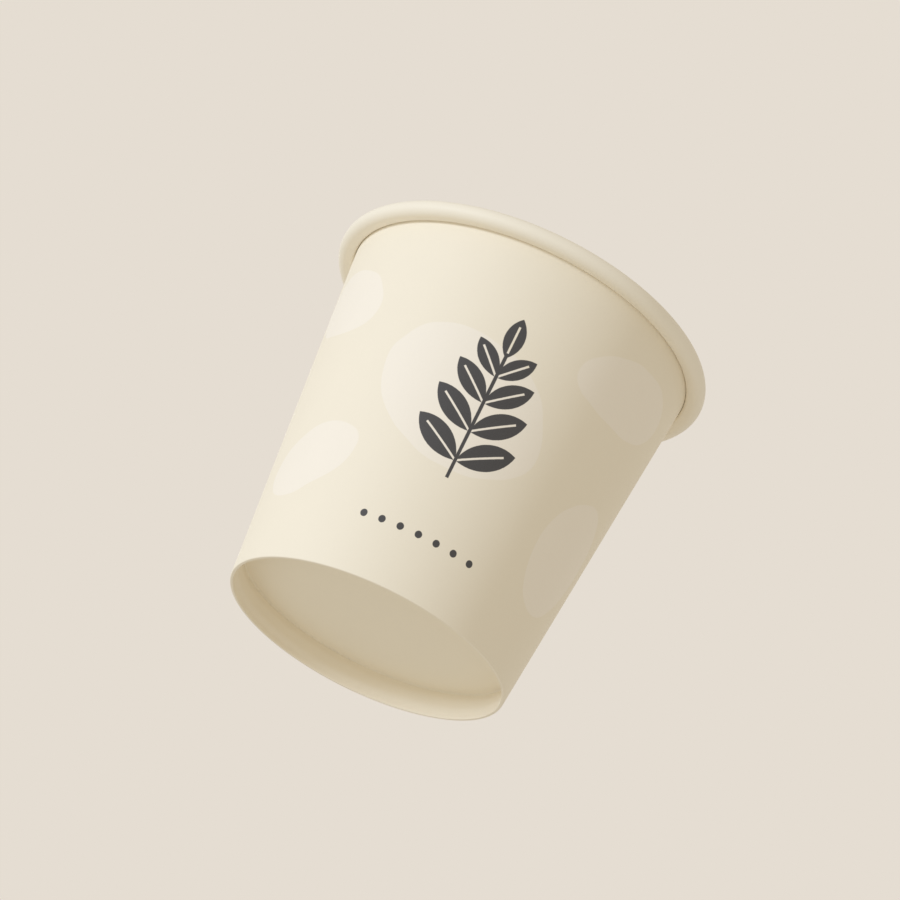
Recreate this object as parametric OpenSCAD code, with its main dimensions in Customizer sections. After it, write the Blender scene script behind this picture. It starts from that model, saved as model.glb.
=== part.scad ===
// Small tapered paper cup, made from two paperboard blanks.
// The side wall is one blank: wrapped to a cone with a glued lap, rolled outward at the rim and
// folded inward at the foot. The base is a round blank whose edge is turned down as a skirt, which
// is glued between the wall and the foot's hem.
// Lengths are millimetres and angles are degrees. The origin is the centre of the foot on the
// table, +Z is up, the front is -Y and the lap is at the back, +Y.

/* [Cup] */
// Height from the table to the top of the rim
cup_h = 61.8; // [45:0.1:90]
// Outside diameter over the rolled rim
rim_d = 64.4; // [58:0.1:74]
// Outside diameter of the wall where it meets the table
foot_d = 46.5; // [40:0.1:52]

/* [Side wall] */
// Thickness of the side wall's board
wall_t = 0.28; // [0.2:0.01:0.4]
// Diameter of the rolled rim's section
roll_d = 3.2; // [2.6:0.1:4.5]
// Gap between the turns of the roll
roll_gap = 0.06; // [0.03:0.01:0.12]
// Width of the glued lap at the foot
lap_w = 5; // [3:0.5:8]
// Width over which the outer board climbs onto the lap, at the foot
ramp_w = 7; // [5:0.5:10]
// Height under the rim over which the hollow beside the inner board's edge is pressed shut
seal_h = 1.5; // [0.5:0.5:4]
// Width of the flat that the press leaves on the foot's fold
foot_flat = 0.4; // [0.2:0.05:0.5]

/* [Base] */
// Height of the recess under the base
recess_h = 4.8; // [3.5:0.1:9]
// Thickness of the base's board
base_t = 0.28; // [0.2:0.01:0.4]
// Inside radius of the bend between the base and its skirt
bend_r = 0.35; // [0.2:0.05:0.8]
// Glue line on each face of the skirt
glue_gap = 0.02; // [0.01:0.01:0.05]
// Clearance between the skirt's lower edge and the inside of the fold
skirt_gap = 0.1; // [0.05:0.05:0.4]
// Clearance between the hem's upper edge and the base's bend
hem_gap = 0.15; // [0.05:0.05:0.6]

/* [Hidden] */
$fn = 180;
board_colour = [0.957, 0.925, 0.855];
base_colour = [0.929, 0.894, 0.816];

// The roll's section is round, and the wall's inside face runs straight into it.
roll_r = roll_d / 2;
roll_x = rim_d / 2 - roll_r;
roll_z = cup_h - roll_r;
foot_r = foot_d / 2;
lean = atan2(roll_x - foot_r, roll_z);
reach = norm([roll_x - foot_r, roll_z]);
taper = lean - asin((roll_r - wall_t) / reach);

// Each half turn of the roll shifts its centre, so that the next turn lies inside the last one.
turn_shift = (wall_t + roll_gap) / 2;
under_r = roll_r - turn_shift;
tuck_r = roll_r - 2 * turn_shift;

// The fold wraps the skirt and its two glue lines.
slot_w = base_t + 2 * glue_gap;
fold_r = wall_t + slot_w / 2;
fold_z = sqrt(fold_r ^ 2 - (foot_flat / 2) ^ 2);
fold_x = slot_line(fold_z);
wall_len = along_wall(roll_x, roll_z);

// The bend's centre lies one inside radius from both faces that it joins.
bend_z = recess_h - bend_r;
bend_x = slot_line(bend_z) - (base_t / 2 + bend_r) / cos(taper);
bend_len = along_wall(bend_x, bend_z);
hem_len = bend_len - hem_gap;
// The skirt runs this far into the bend, so that the two are one board.
weld = 0.01;

// The outer board climbs onto the lap along a cone whose axis is shifted towards the lap.
lap_a = angle_at_foot(lap_w);
climb_a = lap_a / 2 + angle_at_foot(ramp_w);
lap_shift = wall_t / (1 - cos(climb_a));
lap_shrink = lap_shift * cos(climb_a);
lap_dir = 90;
lap_top = roll_z - under_r;
hollow_top = lap_top - seal_h;
cut_size = cup_h + rim_d;

function angle_at_foot(width) = width / foot_r * 180 / PI;
function outer_line(z) = foot_r + z * tan(taper);
function inner_line(z) = outer_line(z) - wall_t / cos(taper);
// Radius of the middle of the slot that holds the skirt
function slot_line(z) = outer_line(z) - fold_r / cos(taper);
// Distance of a point from the fold's centre, along the wall
function along_wall(x, z) = (x - fold_x) * sin(taper) + (z - fold_z) * cos(taper);

module at_fold() {
    translate([fold_x, fold_z]) rotate(-taper) children();
}

// From the fold's centre to the roll's centre
module up_to_roll() {
    translate([fold_r - wall_t + roll_r, wall_len]) children();
}

module board_ring(outside_r, thickness) {
    difference() {
        circle(outside_r);
        circle(outside_r - thickness);
    }
}

// Half of a ring of board: side is 1 for the half above its centre and -1 for the half below
module half_turn(outside_r, thickness, side) {
    intersection() {
        board_ring(outside_r, thickness);
        translate([0, side * outside_r]) square(2 * outside_r, center = true);
    }
}

// Section of the rolled rim: over the top, back underneath, and tucked inside
module roll_section() {
    half_turn(roll_r, wall_t, 1);
    translate([turn_shift, 0]) half_turn(under_r, wall_t, -1);
    half_turn(tuck_r, wall_t, 1);
}

// Section of the foot: the fold, the wall on its outside and the hem on its inside
module foot_section() {
    half_turn(fold_r, wall_t, -1);
    translate([fold_r - wall_t, 0]) square([wall_t, wall_len]);
    translate([-fold_r, 0]) square([wall_t, hem_len]);
}

module wall_section() {
    difference() {
        at_fold() {
            foot_section();
            up_to_roll() roll_section();
        }
        translate([0, -fold_r]) square([foot_d, fold_r]);
    }
}

// Cone shifted towards the lap, with the wall's taper, from one height to another
module lap_cone(low_z, high_z, low_r, high_r) {
    rotate(lap_dir)
        translate([lap_shift, 0, low_z])
            cylinder(h = high_z - low_z, r1 = low_r - lap_shrink, r2 = high_r - lap_shrink);
}

// What lies past a plane through the cup's axis, on the side that the outer board comes from
module past_angle(angle) {
    rotate(angle) translate([0, 0, -cup_h / 2]) cube([cut_size, cut_size, 2 * cup_h]);
}

// The outer board where it leaves the wall's own cone and covers the lap
module lap_outside() {
    intersection() {
        lap_cone(fold_z, lap_top, outer_line(fold_z), outer_line(lap_top));
        past_angle(lap_dir - lap_a / 2);
    }
}

// The hollow that the climbing board leaves beside the inner board's cut edge
module lap_inside() {
    intersection() {
        lap_cone(recess_h, hollow_top, inner_line(recess_h), inner_line(hollow_top));
        past_angle(lap_dir + lap_a / 2);
    }
}

// Everything inside the middle of the wall's board
module inside_of_wall() {
    middle = wall_t / 2;
    cylinder(h = cup_h, r1 = outer_line(0) - middle, r2 = outer_line(cup_h) - middle);
}

module sidewall() {
    color(board_colour)
        difference() {
            union() {
                rotate_extrude() wall_section();
                difference() {
                    lap_outside();
                    inside_of_wall();
                }
            }
            lap_inside();
        }
}

// Section of the base: the disc, the bend and the skirt
module base_section() {
    translate([0, recess_h]) square([bend_x, base_t]);
    translate([bend_x, bend_z])
        intersection() {
            board_ring(bend_r + base_t, base_t);
            polygon([[0, 0], [foot_r * cos(taper), -foot_r * sin(taper)], [foot_r, foot_r], [0, foot_r]]);
        }
    at_fold()
        translate([-base_t / 2, skirt_gap])
            square([base_t, bend_len - skirt_gap + weld]);
}

module base() {
    color(base_colour) rotate_extrude() base_section();
}

sidewall();
base();
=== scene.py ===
from itertools import chain
from math import asin, atan2, cos, hypot, pi, radians, sin, sqrt, tan

import bpy
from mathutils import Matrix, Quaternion, Vector


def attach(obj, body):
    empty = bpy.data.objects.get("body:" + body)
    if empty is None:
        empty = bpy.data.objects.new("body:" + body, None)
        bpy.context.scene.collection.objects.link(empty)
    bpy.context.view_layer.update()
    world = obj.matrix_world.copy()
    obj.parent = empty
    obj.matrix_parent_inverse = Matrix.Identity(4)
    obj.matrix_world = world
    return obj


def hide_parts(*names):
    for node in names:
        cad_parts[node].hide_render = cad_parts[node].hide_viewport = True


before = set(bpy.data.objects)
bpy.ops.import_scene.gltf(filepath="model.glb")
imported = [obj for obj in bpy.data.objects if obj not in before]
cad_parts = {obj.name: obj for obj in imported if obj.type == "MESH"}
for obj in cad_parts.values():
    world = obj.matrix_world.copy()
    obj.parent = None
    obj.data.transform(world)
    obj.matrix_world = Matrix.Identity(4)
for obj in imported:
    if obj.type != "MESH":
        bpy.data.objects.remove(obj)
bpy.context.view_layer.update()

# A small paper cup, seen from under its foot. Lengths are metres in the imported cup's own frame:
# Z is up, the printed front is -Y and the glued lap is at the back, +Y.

MM = 0.001

# Cup, as in the part's source
CUP_H = 61.8 * MM
RIM_R = 32.2 * MM
FOOT_R = 23.25 * MM
WALL_T = 0.28 * MM
ROLL_R = 1.6 * MM
ROLL_GAP = 0.06 * MM
LAP_W = 5 * MM
RAMP_W = 7 * MM
FOOT_FLAT = 0.4 * MM
RECESS_H = 4.8 * MM
BASE_T = 0.28 * MM
BEND_R = 0.35 * MM
GLUE_GAP = 0.02 * MM

# Wall's slope, from the foot's edge to the roll that the wall runs into
ROLL_X = RIM_R - ROLL_R
ROLL_Z = CUP_H - ROLL_R
TAPER = atan2(ROLL_X - FOOT_R, ROLL_Z) - asin((ROLL_R - WALL_T) / hypot(ROLL_X - FOOT_R, ROLL_Z))

# Fold at the foot, which wraps the base's skirt and its two glue lines
FOLD_R = WALL_T + BASE_T / 2 + GLUE_GAP
FOLD_Z = sqrt(FOLD_R ** 2 - (FOOT_FLAT / 2) ** 2)


def slot_line(z):
    """Radius of the middle of the slot that holds the base's skirt, at a height."""
    return FOOT_R + z * tan(TAPER) - FOLD_R / cos(TAPER)


def along_wall(x, z):
    """Distance of a point of the cup's section from the fold's centre, measured up the wall."""
    return (x - FOLD_X) * sin(TAPER) + (z - FOLD_Z) * cos(TAPER)


FOLD_X = slot_line(FOLD_Z)
WALL_LEN = along_wall(ROLL_X, ROLL_Z)
TURN_SHIFT = (WALL_T + ROLL_GAP) / 2
BEND_Z = RECESS_H - BEND_R
BEND_X = slot_line(BEND_Z) - (BASE_T / 2 + BEND_R) / cos(TAPER)
BEND_LEN = along_wall(BEND_X, BEND_Z)

# Lap: the board's last turn climbs onto its own start. Layers that are pressed flat on the table
# lie a small gap apart.
LAP_ANGLE = LAP_W / FOOT_R
RAMP_ANGLE = RAMP_W / FOOT_R
LAP_START = pi / 2 + LAP_ANGLE / 2
LAP_LIFT = WALL_T + GLUE_GAP
LAYER_GAP = 0.01 * MM

# Roll: its underside is pressed flatter than the rest, leans by a few degrees and turns up sharply
# beside the wall
UNDER_LEAN_DEG = 4
UNDER_PRESS = 0.84
CORNER_R = 0.45 * MM

# Foot: the fold is pinched below the skirt's end and pressed down to a flat, the hem's edge is
# pressed thin against the base's bend, and the lap is pressed flat from the hem to a little way up
# the wall
PINCH = 0.3 * MM
PINCH_RISE = 1.6 * MM
FOLD_PRESS = 2.6
SKIRT_END = PINCH_RISE + 0.2 * MM
HEM_LEN = BEND_LEN + 0.08 * MM
HEM_EDGE_W = 1.2 * MM
HEM_EDGE_T = 0.08 * MM
FLAT_LAP_SHARE = 0.08
LAP_RISE = 4 * MM

# Steps along the wall's section, from the hem to the end that is tucked into the roll
HEM_STEPS = 16
FOLD_STEPS = 14
LAP_RISE_STEPS = 8
WALL_STEPS = 12
ROLL_STEPS = 22
UNDER_STEPS = 12
CORNER_STEPS = 8
TUCK_STEPS = 10

# Steps along the base's section, and round the cup
BASE_RINGS = 10
BEND_STEPS = 8
WALL_TURN_STEPS = 380
BASE_TURN_STEPS = 240

# Points of a section that are nearer than this are one point, and edges that are sharper than this
# are shaded as edges
SAME_POINT = 0.001 * MM
SHARP_ANGLE = radians(50)

# Photograph's camera
CAMERA_AT = Vector((0, -455.24, -172.81)) * MM
CAMERA_AIM = Vector((-1.43, 0, 35.318)) * MM
CAMERA_ROLL = radians(26.31)
LENS_MM = 126
SENSOR_MM = 36
CLIP_NEAR = 0.05
CLIP_FAR = 20

# Colours, as sRGB
BOARD = (244, 236, 218)
BASE_BOARD = (244, 236, 217)
LINING = (245, 238, 222)
RAW_EDGE = (238, 230, 212)
PALE_INK = (247, 240, 227)
DARK_INK = (66, 65, 66)
BACKDROP = (229, 221, 210)
FLOOR = (244, 240, 232)


def linear(colour):
    """Linear RGBA of an sRGB colour in 0 to 255."""
    channels = [channel / 255 for channel in colour]
    return (*[c / 12.92 if c <= 0.04045 else ((c + 0.055) / 1.055) ** 2.4 for c in channels], 1.0)


# Numbers and colours that vary over a surface

def plug(tree, value, socket):
    """Gives a socket a constant, or links it to a Field or to another socket."""
    if isinstance(value, Field):
        value = value.socket
    if isinstance(value, bpy.types.NodeSocket):
        tree.links.new(value, socket)
    else:
        socket.default_value = value


class Field:
    """A number at each point of a surface, made by a node and open to ordinary arithmetic."""

    def __init__(self, tree, socket):
        self.tree = tree
        self.socket = socket

    def math(self, operation, *others):
        node = self.tree.nodes.new("ShaderNodeMath")
        node.operation = operation
        for value, socket in zip((self, *others), node.inputs):
            plug(self.tree, value, socket)
        return Field(self.tree, node.outputs[0])

    def __add__(self, other):
        return self.math("ADD", other)

    def __sub__(self, other):
        return self.math("SUBTRACT", other)

    def __mul__(self, other):
        return self.math("MULTIPLY", other)

    def __truediv__(self, other):
        return self.math("DIVIDE", other)

    def __neg__(self):
        return self.math("MULTIPLY", -1.0)

    def __abs__(self):
        return self.math("ABSOLUTE")

    def least(self, other):
        return self.math("MINIMUM", other)

    def most(self, other):
        return self.math("MAXIMUM", other)

    def inside(self, edge):
        """1 where this distance is below zero and 0 where it is above, with a soft edge."""
        node = self.tree.nodes.new("ShaderNodeMapRange")
        node.inputs["From Min"].default_value = edge / 2
        node.inputs["From Max"].default_value = -edge / 2
        self.tree.links.new(self.socket, node.inputs["Value"])
        return Field(self.tree, node.outputs["Result"])


def distance(x, y):
    return (x * x + y * y).math("SQRT")


def turned(x, y, angle):
    """Coordinates in a frame that is turned by an angle."""
    c, s = cos(angle), sin(angle)
    return x * c + y * s, y * c - x * s


class Surface:
    """A material under construction: its nodes, its shader and its coordinates on the object.
    Its colours are sockets or sRGB triples."""

    def __init__(self, name):
        self.material = bpy.data.materials.new(name)
        self.material.use_nodes = True
        self.tree = self.material.node_tree
        self.shader = self.tree.nodes["Principled BSDF"]
        self.place = self.tree.nodes.new("ShaderNodeTexCoord").outputs["Object"]

    def axes(self):
        node = self.tree.nodes.new("ShaderNodeSeparateXYZ")
        self.tree.links.new(self.place, node.inputs[0])
        return [Field(self.tree, socket) for socket in node.outputs]

    def noise(self, size, detail=2.0):
        """Cloudy noise from about -0.5 to 0.5, with features of a given size."""
        node = self.tree.nodes.new("ShaderNodeTexNoise")
        node.inputs["Scale"].default_value = 1 / size
        node.inputs["Detail"].default_value = detail
        self.tree.links.new(self.place, node.inputs["Vector"])
        return Field(self.tree, node.outputs["Fac"]) - 0.5

    def paint(self, colour, socket):
        plug(self.tree, linear(colour) if isinstance(colour, tuple) else colour, socket)

    def over(self, under, top, cover):
        """Colour socket of one colour over another."""
        node = self.tree.nodes.new("ShaderNodeMixRGB")
        self.tree.links.new(cover.socket, node.inputs["Fac"])
        self.paint(under, node.inputs["Color1"])
        self.paint(top, node.inputs["Color2"])
        return node.outputs["Color"]

    def shaded(self, colour, amount):
        """Colour socket of a colour that a Field makes lighter and darker."""
        node = self.tree.nodes.new("ShaderNodeHueSaturation")
        self.tree.links.new((amount + 1.0).socket, node.inputs["Value"])
        self.paint(colour, node.inputs["Color"])
        return node.outputs["Color"]

    def set(self, **values):
        """Gives the shader's inputs constants, Fields or colour sockets."""
        for name, value in values.items():
            plug(self.tree, value, self.shader.inputs[name.replace("_", " ")])

    def bump(self, height, depth):
        """Relief in which a height of 1 stands for a given depth."""
        node = self.tree.nodes.new("ShaderNodeBump")
        node.inputs["Distance"].default_value = depth
        self.tree.links.new(height.socket, node.inputs["Height"])
        self.tree.links.new(node.outputs["Normal"], self.shader.inputs["Normal"])


# Print: a sprig over pale pebbles, with a row of dots near the foot. Places are millimetres on the
# wall rolled flat: across from the middle of the front, and up from the table.
PRINT_R = 26.0
SPRIG_FOOT = 19.5
SPRIG_TIP = 41.5
STEM_W = 0.55
RIB_W = 0.32
RIB_SHARE = 0.8
LEAF_PAIRS = (
    # up the stem, length, half width, lean from the stem
    (22.5, 9.6, 2.1, radians(58)),
    (27.6, 9.2, 2.0, radians(53)),
    (32.6, 8.2, 1.8, radians(48)),
    (37.2, 6.8, 1.5, radians(42)),
)
TIP_LEAF = (40.6, 7.0, 1.5)
DOT_R = 0.6
DOT_PITCH = 3.2
DOT_ROW_UP = 9.6
DOT_ROW_HALF = 10.4
PEBBLES = (
    # across, up, half width, half height, turn
    (-3.0, 32.0, 14.5, 10.5, radians(-20)),
    (21.0, 47.5, 10.5, 5.6, radians(14)),
    (-24.5, 17.0, 9.0, 5.4, radians(25)),
    (26.5, 21.0, 7.6, 10.6, radians(-16)),
    (-31.0, 45.5, 8.6, 6.0, radians(-12)),
    (50.0, 38.0, 11.0, 7.4, radians(22)),
    (-54.0, 29.0, 9.4, 12.0, radians(14)),
    (61.0, 18.0, 8.0, 5.2, radians(-18)),
    (-69.0, 47.0, 6.6, 4.6, radians(10)),
)
PEBBLE_WOBBLE = 1.6
PEBBLE_EDGE = 0.16
INK_EDGE = 0.08
INK_RAGGED = 0.06


def leaf(x, y, size, half_width):
    """Signed distance to a pointed leaf that grows along y from 0 to its size, less its midrib."""
    half = size / 2
    radius = (half ** 2 + half_width ** 2) / (2 * half_width)
    outline = distance(abs(x) + (radius - half_width), y - half) - radius
    rib = (abs(x) - RIB_W / 2).most(y - RIB_SHARE * size)
    return outline.most(-rib)


def sprig(x, y):
    """Signed distance to the sprig: pairs of leaves, a leaf at the tip and the stem."""
    middle = (SPRIG_FOOT + SPRIG_TIP) / 2
    stem = (abs(x) - STEM_W / 2).most(abs(y - middle) - (SPRIG_TIP - middle))
    up, size, half_width = TIP_LEAF
    shape = stem.least(leaf(x, y - up, size, half_width))
    for up, size, half_width, lean in LEAF_PAIRS:
        shape = shape.least(leaf(*turned(abs(x), y - up, -lean), size, half_width))
    return shape


def dots(x, y):
    """Signed distance to the row of dots."""
    step = (x / DOT_PITCH).math("ROUND") * DOT_PITCH
    return (distance(x - step, y - DOT_ROW_UP) - DOT_R).most(abs(x) - DOT_ROW_HALF)


def pebbles(x, y, wobble):
    """Signed distance to the pale pebbles, whose outlines a Field makes uneven."""
    shape = None
    for across, up, half_width, half_height, turn in PEBBLES:
        u, v = turned(x - across, y - up, turn)
        pebble = (distance(u / half_width, v / half_height) - 1.0) * min(half_width, half_height)
        shape = shape.least(pebble) if shape else pebble
    return shape + wobble * PEBBLE_WOBBLE


# Materials: the sizes of what varies over the board, and how far it varies the tone and the sheen
CLOUD_SIZE = 5 * MM
CLOUD_TONE = 0.016
CLOUD_ROUGHNESS = 0.12
FIBRE_SIZE = 0.35 * MM
FIBRE_TONE = 0.022
FIBRE_ROUGHNESS = 0.1
WOBBLE_SIZE = 9 * MM
RAGGED_SIZE = 0.3 * MM
MOTTLE_SIZE = 0.6 * MM
MOTTLE_TONE = 0.16
PAPER_IOR = 1.45
BOARD_SHEEN = 0.25
INK_SHEEN = 0.7
LOW_DETAIL = 1.0
HIGH_DETAIL = 3.0


def paper(name, colour, roughness, fibre_depth):
    """Uncoated or coated board: cloudy formation, fine fibres and a slightly uneven sheen. The
    colour is an sRGB triple, or a function that works it out on the surface."""
    surface = Surface(name)
    surface.set(IOR=PAPER_IOR, Specular_IOR_Level=BOARD_SHEEN)
    clouds = surface.noise(CLOUD_SIZE, HIGH_DETAIL)
    fibres = surface.noise(FIBRE_SIZE, HIGH_DETAIL)
    tone = clouds * CLOUD_TONE + fibres * FIBRE_TONE
    surface.set(Base_Color=surface.shaded(colour(surface) if callable(colour) else colour, tone))
    surface.set(Roughness=clouds * CLOUD_ROUGHNESS + fibres * FIBRE_ROUGHNESS + roughness)
    surface.bump(fibres, fibre_depth)
    return surface.material


def printed(surface):
    """Colour of the wall's outside: the board with its pale and dark inks. The dark ink also has
    more sheen than the board."""
    x, y, z = surface.axes()
    across = x.math("ARCTAN2", -y) * PRINT_R
    up = z / MM
    wobble = surface.noise(WOBBLE_SIZE, LOW_DETAIL)
    ragged = surface.noise(RAGGED_SIZE) * INK_RAGGED
    pale = pebbles(across, up, wobble).inside(PEBBLE_EDGE)
    dark = (sprig(across, up).least(dots(across, up)) + ragged).inside(INK_EDGE)
    ink = surface.shaded(DARK_INK, surface.noise(MOTTLE_SIZE, HIGH_DETAIL) * MOTTLE_TONE)
    surface.set(Specular_IOR_Level=dark * (INK_SHEEN - BOARD_SHEEN) + BOARD_SHEEN)
    return surface.over(surface.over(BOARD, PALE_INK, pale), ink, dark)


PRINTED_BOARD = paper("printed_board", printed, roughness=0.62, fibre_depth=0.006 * MM)
LINED_BOARD = paper("lined_board", LINING, roughness=0.52, fibre_depth=0.003 * MM)
CUT_BOARD = paper("cut_board", RAW_EDGE, roughness=0.85, fibre_depth=0.03 * MM)
BASE_UNDERSIDE = paper("base_underside", BASE_BOARD, roughness=0.7, fibre_depth=0.008 * MM)


# Meshes. Each face of a piece ends with one of these, which says what its material is.
OUTER_FACE, LINED_FACE, CUT_FACE = range(3)


def smooth(t):
    """Eases from 0 to 1 as t goes from 0 to 1."""
    t = min(max(t, 0), 1)
    return t * t * (3 - 2 * t)


def arc(centre, radius, start, end, steps, side):
    """Points on an arc of a section, each with the direction of the board's printed face.
    That face looks away from the centre where side is 1, and at it where side is -1."""
    for step in range(steps + 1):
        angle = radians(start + (end - start) * step / steps)
        out = Vector((cos(angle), sin(angle)))
        yield Vector(centre) + radius * out, side * out


def line(x, start, end, steps, side):
    """Points on a line along the wall, each with the direction of the board's printed face."""
    for step in range(steps + 1):
        yield Vector((x, start + (end - start) * step / steps)), Vector((side, 0))


def squeezed(run, level, share):
    """Points of a run, with their heights over a level scaled."""
    for point, side in run:
        yield Vector((point.x, level + share * (point.y - level))), side


def pinched(run):
    """Points of the hem, drawn towards the wall near the fold."""
    for point, side in run:
        yield point + Vector((PINCH * (1 - smooth(point.y / PINCH_RISE)), 0)), side


def wall_path():
    """Middle of the wall's board in section, from the hem's edge to the end tucked into the roll.
    It is measured from the fold's centre: x out from the wall and y up along it."""
    half = WALL_T / 2
    fold_r = FOLD_R - half - PINCH / 2
    roll = Vector((FOLD_R - WALL_T + ROLL_R, WALL_LEN))
    under = roll + Vector((TURN_SHIFT, 0))
    under_r = ROLL_R - TURN_SHIFT - half
    under_end = -90 - UNDER_LEAN_DEG
    beside_wall = FOLD_R + half + ROLL_GAP / 2
    out = Vector((cos(radians(under_end)), sin(radians(under_end))))
    along = Vector((out.y, -out.x))
    corner = under + (under_r - CORNER_R) * out
    corner += along * (beside_wall + CORNER_R - corner.x) / along.x
    underside = chain(
        arc(under, under_r, 0, under_end, UNDER_STEPS, -1),
        arc(corner, CORNER_R, under_end, -180, CORNER_STEPS, -1),
    )
    runs = (
        pinched(line(half - FOLD_R, HEM_LEN, 0, HEM_STEPS, -1)),
        squeezed(arc((PINCH / 2, 0), fold_r, 180, 360, FOLD_STEPS, 1), 0, FOLD_PRESS),
        line(FOLD_R - half, 0, LAP_RISE, LAP_RISE_STEPS, 1),
        line(FOLD_R - half, LAP_RISE, WALL_LEN, WALL_STEPS, 1),
        arc(roll, ROLL_R - half, 180, 0, ROLL_STEPS, -1),
        squeezed(underside, WALL_LEN, UNDER_PRESS),
        arc(roll, roll.x - beside_wall, 180, 0, TUCK_STEPS, -1),
    )
    path = []
    for point, side in chain(*runs):
        if not path or (point - path[-1][0]).length > SAME_POINT:
            path.append((point, side))
    return path


def in_section(point):
    """Radius and height of a point that is measured from the fold's centre, along the wall."""
    return (
        FOLD_X + point.x * cos(TAPER) + point.y * sin(TAPER),
        FOLD_Z - point.x * sin(TAPER) + point.y * cos(TAPER),
    )


def on_board(point, side, face, lift):
    """Radius and height of a point on one face of the board, where the lap lifts the board off the
    wall's own cone. Face is 1 for the printed face and -1 for the lined one."""
    off = face * WALL_T / 2
    on_wall = point.x > 0
    if not on_wall and face == 1:
        off -= (WALL_T - HEM_EDGE_T) * smooth((point.y - HEM_LEN + HEM_EDGE_W) / HEM_EDGE_W)
    rise = smooth(point.y / LAP_RISE) if on_wall else 0
    return in_section(point + side * (off + lift * (FLAT_LAP_SHARE + (1 - FLAT_LAP_SHARE) * rise)))


def add_object(name, data):
    """A new object in the scene."""
    thing = bpy.data.objects.new(name, data)
    bpy.context.collection.objects.link(thing)
    return thing


def add_piece(name, points, faces, outer_board, node):
    """A smooth piece on the cup's body in place of a CAD node."""
    mesh = bpy.data.meshes.new(name)
    mesh.from_pydata(points, [], [face[:-1] for face in faces])
    for material in (outer_board, LINED_BOARD, CUT_BOARD):
        mesh.materials.append(material)
    mesh.polygons.foreach_set("material_index", [face[-1] for face in faces])
    mesh.polygons.foreach_set("use_smooth", [True] * len(faces))
    mesh.set_sharp_from_angle(angle=SHARP_ANGLE)
    mesh.validate()
    piece = add_object(name, mesh)
    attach(piece, "root")
    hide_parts(node)


def make_wall():
    """The side wall: one strip of board, swept round the cup and lapped over its own start."""
    path = wall_path()
    points = []
    for step in range(WALL_TURN_STEPS + 1):
        turn = (2 * pi + LAP_ANGLE) * step / WALL_TURN_STEPS
        lift = LAP_LIFT * smooth((turn - 2 * pi + RAMP_ANGLE) / RAMP_ANGLE)
        covered = 2 * LAYER_GAP if turn < LAP_ANGLE else 0
        angle = LAP_START - turn
        for face, floor in ((1, covered), (-1, covered + LAYER_GAP)):
            for middle, side in path:
                r, z = on_board(middle, side, face, lift)
                points.append((r * cos(angle), r * sin(angle), max(z, floor)))
    row = len(path)
    last = row - 1
    end = WALL_TURN_STEPS
    faces = []

    def outer(step, place):
        return step * 2 * row + place

    def inner(step, place):
        return outer(step, place) + row

    def quad(kind, *corners):
        faces.append((*corners, kind))

    for step in range(end):
        after = step + 1
        for place in range(last):
            up = place + 1
            quad(OUTER_FACE, outer(step, place), outer(step, up), outer(after, up), outer(after, place))
            quad(LINED_FACE, inner(step, place), inner(after, place), inner(after, up), inner(step, up))
        quad(CUT_FACE, outer(step, 0), outer(after, 0), inner(after, 0), inner(step, 0))
        quad(CUT_FACE, outer(step, last), inner(step, last), inner(after, last), outer(after, last))
    for place in range(last):
        up = place + 1
        quad(CUT_FACE, outer(0, place), inner(0, place), inner(0, up), outer(0, up))
        quad(CUT_FACE, outer(end, place), outer(end, up), inner(end, up), inner(end, place))
    add_piece("cup_wall", points, faces, PRINTED_BOARD, "sidewall")


def base_profile():
    """Section of the base from near its middle, over the top and back underneath, as radius, height
    and what the face that follows is."""
    turn = pi / 2 + TAPER

    def flat(ring, height, kind):
        return BEND_X * ring / BASE_RINGS, height, kind

    def bend(radius, step, kind):
        angle = pi / 2 - turn * step / BEND_STEPS
        return BEND_X + radius * cos(angle), BEND_Z + radius * sin(angle), kind

    def skirt(x, kind):
        return *in_section(Vector((x, SKIRT_END))), kind

    rings = range(1, BASE_RINGS)
    bends = range(BEND_STEPS + 1)
    return [
        *[flat(ring, RECESS_H + BASE_T, LINED_FACE) for ring in rings],
        *[bend(BEND_R + BASE_T, step, LINED_FACE) for step in bends],
        skirt(BASE_T / 2, CUT_FACE),
        skirt(-BASE_T / 2, OUTER_FACE),
        *[bend(BEND_R, step, OUTER_FACE) for step in reversed(bends)],
        *[flat(ring, RECESS_H, OUTER_FACE) for ring in reversed(rings)],
    ]


def make_base():
    """The base: a disc of board whose edge bends down into a skirt."""
    profile = base_profile()
    row = len(profile)
    points = []
    for step in range(BASE_TURN_STEPS):
        angle = 2 * pi * step / BASE_TURN_STEPS
        points += [(r * cos(angle), r * sin(angle), z) for r, z, _ in profile]
    top_middle = len(points)
    low_middle = top_middle + 1
    points += [(0, 0, RECESS_H + BASE_T), (0, 0, RECESS_H)]
    faces = []
    for step in range(BASE_TURN_STEPS):
        here, after = step * row, (step + 1) % BASE_TURN_STEPS * row
        faces.append((top_middle, here, after, LINED_FACE))
        for place in range(row - 1):
            kind = profile[place][2]
            faces.append((here + place, here + place + 1, after + place + 1, after + place, kind))
        faces.append((low_middle, after + row - 1, here + row - 1, OUTER_FACE))
    add_piece("cup_base", points, faces, BASE_UNDERSIDE, "base")


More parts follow.
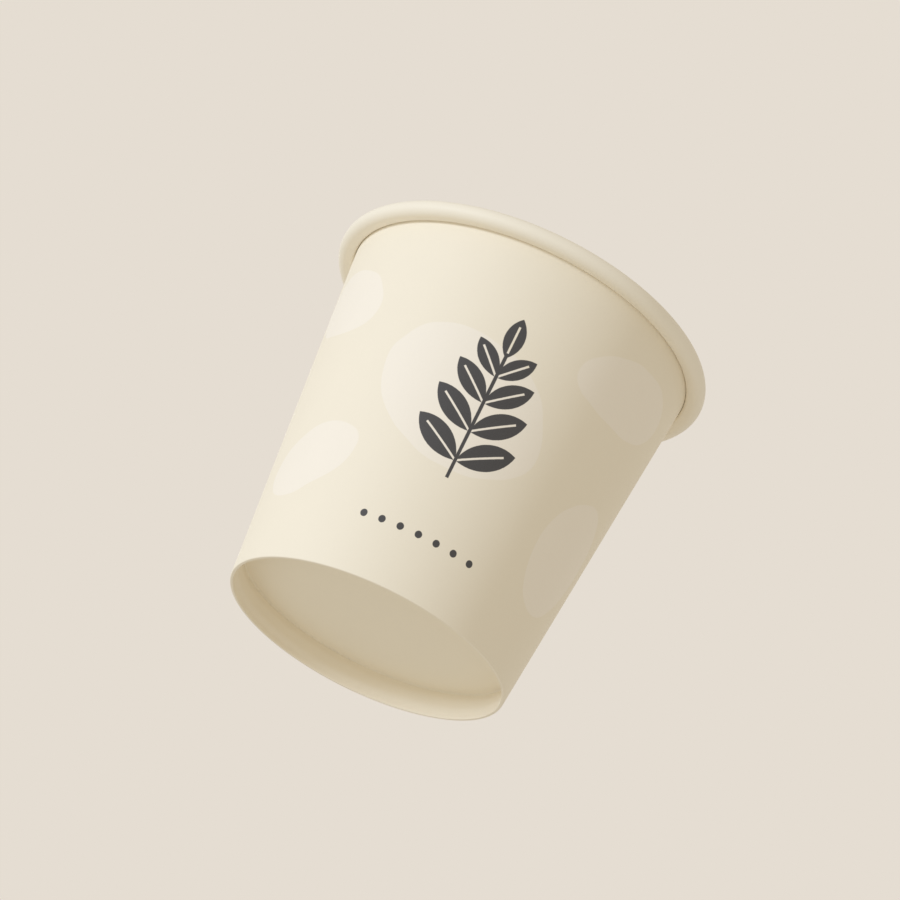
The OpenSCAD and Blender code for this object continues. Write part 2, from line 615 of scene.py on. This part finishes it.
# Studio: azimuth 0 is the front and 90 is +X. Angles are degrees.
AMBIENT = (0.60, 0.55, 0.47, 1)
SUNS = (
    # name, azimuth, elevation, colour, strength, spread, whether it shows in the surfaces' sheen
    ("key", -56, -1, (0.755, 0.849, 1.0), 1.48, 10, True),
    ("low_fill", -45, -35, (0.8, 0.9, 1.0), 0.22, 30, True),
    ("back", -165, 20, (0.75, 0.85, 1.0), 0.85, 20, False),
    ("back_right", 150, 15, (0.9, 0.95, 1.0), 0.15, 25, False),
)
FILL_R = 12 * MM
FILL_OVER_RIM = 6 * MM
FILL_W = 0.0031
FILL_COLOUR = (0.88, 0.93, 1.0)
FLOOR_R = 0.5
FLOOR_FULL_R = 0.12
FLOOR_SIDES = 96
FLOOR_CLOUD_SIZE = 30 * MM
FLOOR_CLOUD_TONE = 0.01
FLOOR_CLOUD_ROUGHNESS = 0.1
FLOOR_ROUGHNESS = 0.8
# Brings the floor up to the backdrop's tone. Only the camera sees it: it doesn't light the cup.
FLOOR_GLOW = (0.17, 0.17, 0.185, 1)


def towards(azimuth, elevation):
    """Direction of a place round the cup."""
    a, e = radians(azimuth), radians(elevation)
    return Vector((sin(a) * cos(e), -cos(a) * cos(e), sin(e)))


def make_sun(name, azimuth, elevation, colour, strength, spread, glints):
    """A soft distant lamp, which shows in the surfaces' sheen or only lights them."""
    lamp = bpy.data.lights.new(name, "SUN")
    lamp.color = colour
    lamp.energy = strength
    lamp.angle = radians(spread)
    sun = add_object(name, lamp)
    sun.rotation_mode = "QUATERNION"
    sun.rotation_quaternion = towards(azimuth, elevation).to_track_quat("Z", "Y")
    sun.visible_glossy = glints


def make_inside_fill():
    """A small soft lamp over the mouth, too low to light anything but the cup's inside."""
    lamp = bpy.data.lights.new("inside_fill", "AREA")
    lamp.shape = "DISK"
    lamp.size = 2 * FILL_R
    lamp.energy = FILL_W
    lamp.color = FILL_COLOUR
    fill = add_object("inside_fill", lamp)
    fill.location = (0, 0, CUP_H + FILL_OVER_RIM)
    fill.visible_camera = False
    fill.visible_glossy = False


def show_mix(tree, share, first, second, output):
    """Sends a mix of two shaders to an output, with the second one where the share is 1."""
    mix = tree.nodes.new("ShaderNodeMixShader")
    plug(tree, share, mix.inputs[0])
    plug(tree, first.outputs[0], mix.inputs[1])
    plug(tree, second.outputs[0], mix.inputs[2])
    plug(tree, mix.outputs[0], tree.nodes[output].inputs["Surface"])


def make_world():
    """Even light from all round, with a backdrop of another colour for what is seen directly."""
    world = bpy.data.worlds.new("studio")
    bpy.context.scene.world = world
    world.use_nodes = True
    tree = world.node_tree
    light = tree.nodes["Background"]
    light.inputs["Color"].default_value = AMBIENT
    seen = tree.nodes.new("ShaderNodeBackground")
    seen.inputs["Color"].default_value = linear(BACKDROP)
    path = tree.nodes.new("ShaderNodeLightPath")
    direct = Field(tree, path.outputs["Is Camera Ray"])
    direct = direct.most(Field(tree, path.outputs["Is Glossy Ray"]))
    direct = direct.most(Field(tree, path.outputs["Is Transmission Ray"]))
    show_mix(tree, direct, light, seen, "World Output")


def make_floor():
    """A pale floor that fades into the backdrop. From below it is open, as under a glass table, so
    that the view from under the foot sees the cup, and light from below still reaches it."""
    turns = [2 * pi * side / FLOOR_SIDES for side in range(FLOOR_SIDES)]
    points = [(FLOOR_R * cos(turn), FLOOR_R * sin(turn), 0) for turn in turns]
    mesh = bpy.data.meshes.new("floor")
    mesh.from_pydata(points, [], [tuple(range(FLOOR_SIDES))])
    surface = Surface("floor")
    tree = surface.tree
    x, y, _ = surface.axes()
    clouds = surface.noise(FLOOR_CLOUD_SIZE, HIGH_DETAIL)
    surface.set(
        Base_Color=surface.shaded(FLOOR, clouds * FLOOR_CLOUD_TONE),
        Roughness=clouds * FLOOR_CLOUD_ROUGHNESS + FLOOR_ROUGHNESS,
        Emission_Color=FLOOR_GLOW,
        Emission_Strength=1.0,
    )
    shown = (distance(x, y) - (FLOOR_R + FLOOR_FULL_R) / 2).inside(FLOOR_R - FLOOR_FULL_R)
    path = tree.nodes.new("ShaderNodeLightPath")
    geometry = tree.nodes.new("ShaderNodeNewGeometry")
    shown = shown * Field(tree, path.outputs["Is Camera Ray"])
    shown = shown * (-Field(tree, geometry.outputs["Backfacing"]) + 1.0)
    clear = tree.nodes.new("ShaderNodeBsdfTransparent")
    show_mix(tree, shown, clear, surface.shader, "Material Output")
    mesh.materials.append(surface.material)
    floor = add_object("floor", mesh)


def make_camera():
    """The photograph's camera, below the foot and rolled, so that the cup leans to the right."""
    data = bpy.data.cameras.new("camera")
    data.lens = LENS_MM
    data.sensor_width = SENSOR_MM
    data.clip_start = CLIP_NEAR
    data.clip_end = CLIP_FAR
    camera = add_object("camera", data)
    camera.location = CAMERA_AT
    camera.rotation_mode = "QUATERNION"
    upright = (CAMERA_AIM - CAMERA_AT).to_track_quat("-Z", "Y")
    camera.rotation_quaternion = upright @ Quaternion((0, 0, 1), CAMERA_ROLL)
    bpy.context.scene.camera = camera


make_camera()
make_wall()
make_base()
make_floor()
make_world()
for sun in SUNS:
    make_sun(*sun)
make_inside_fill()

bpy.context.scene.view_settings.view_transform = "Standard"
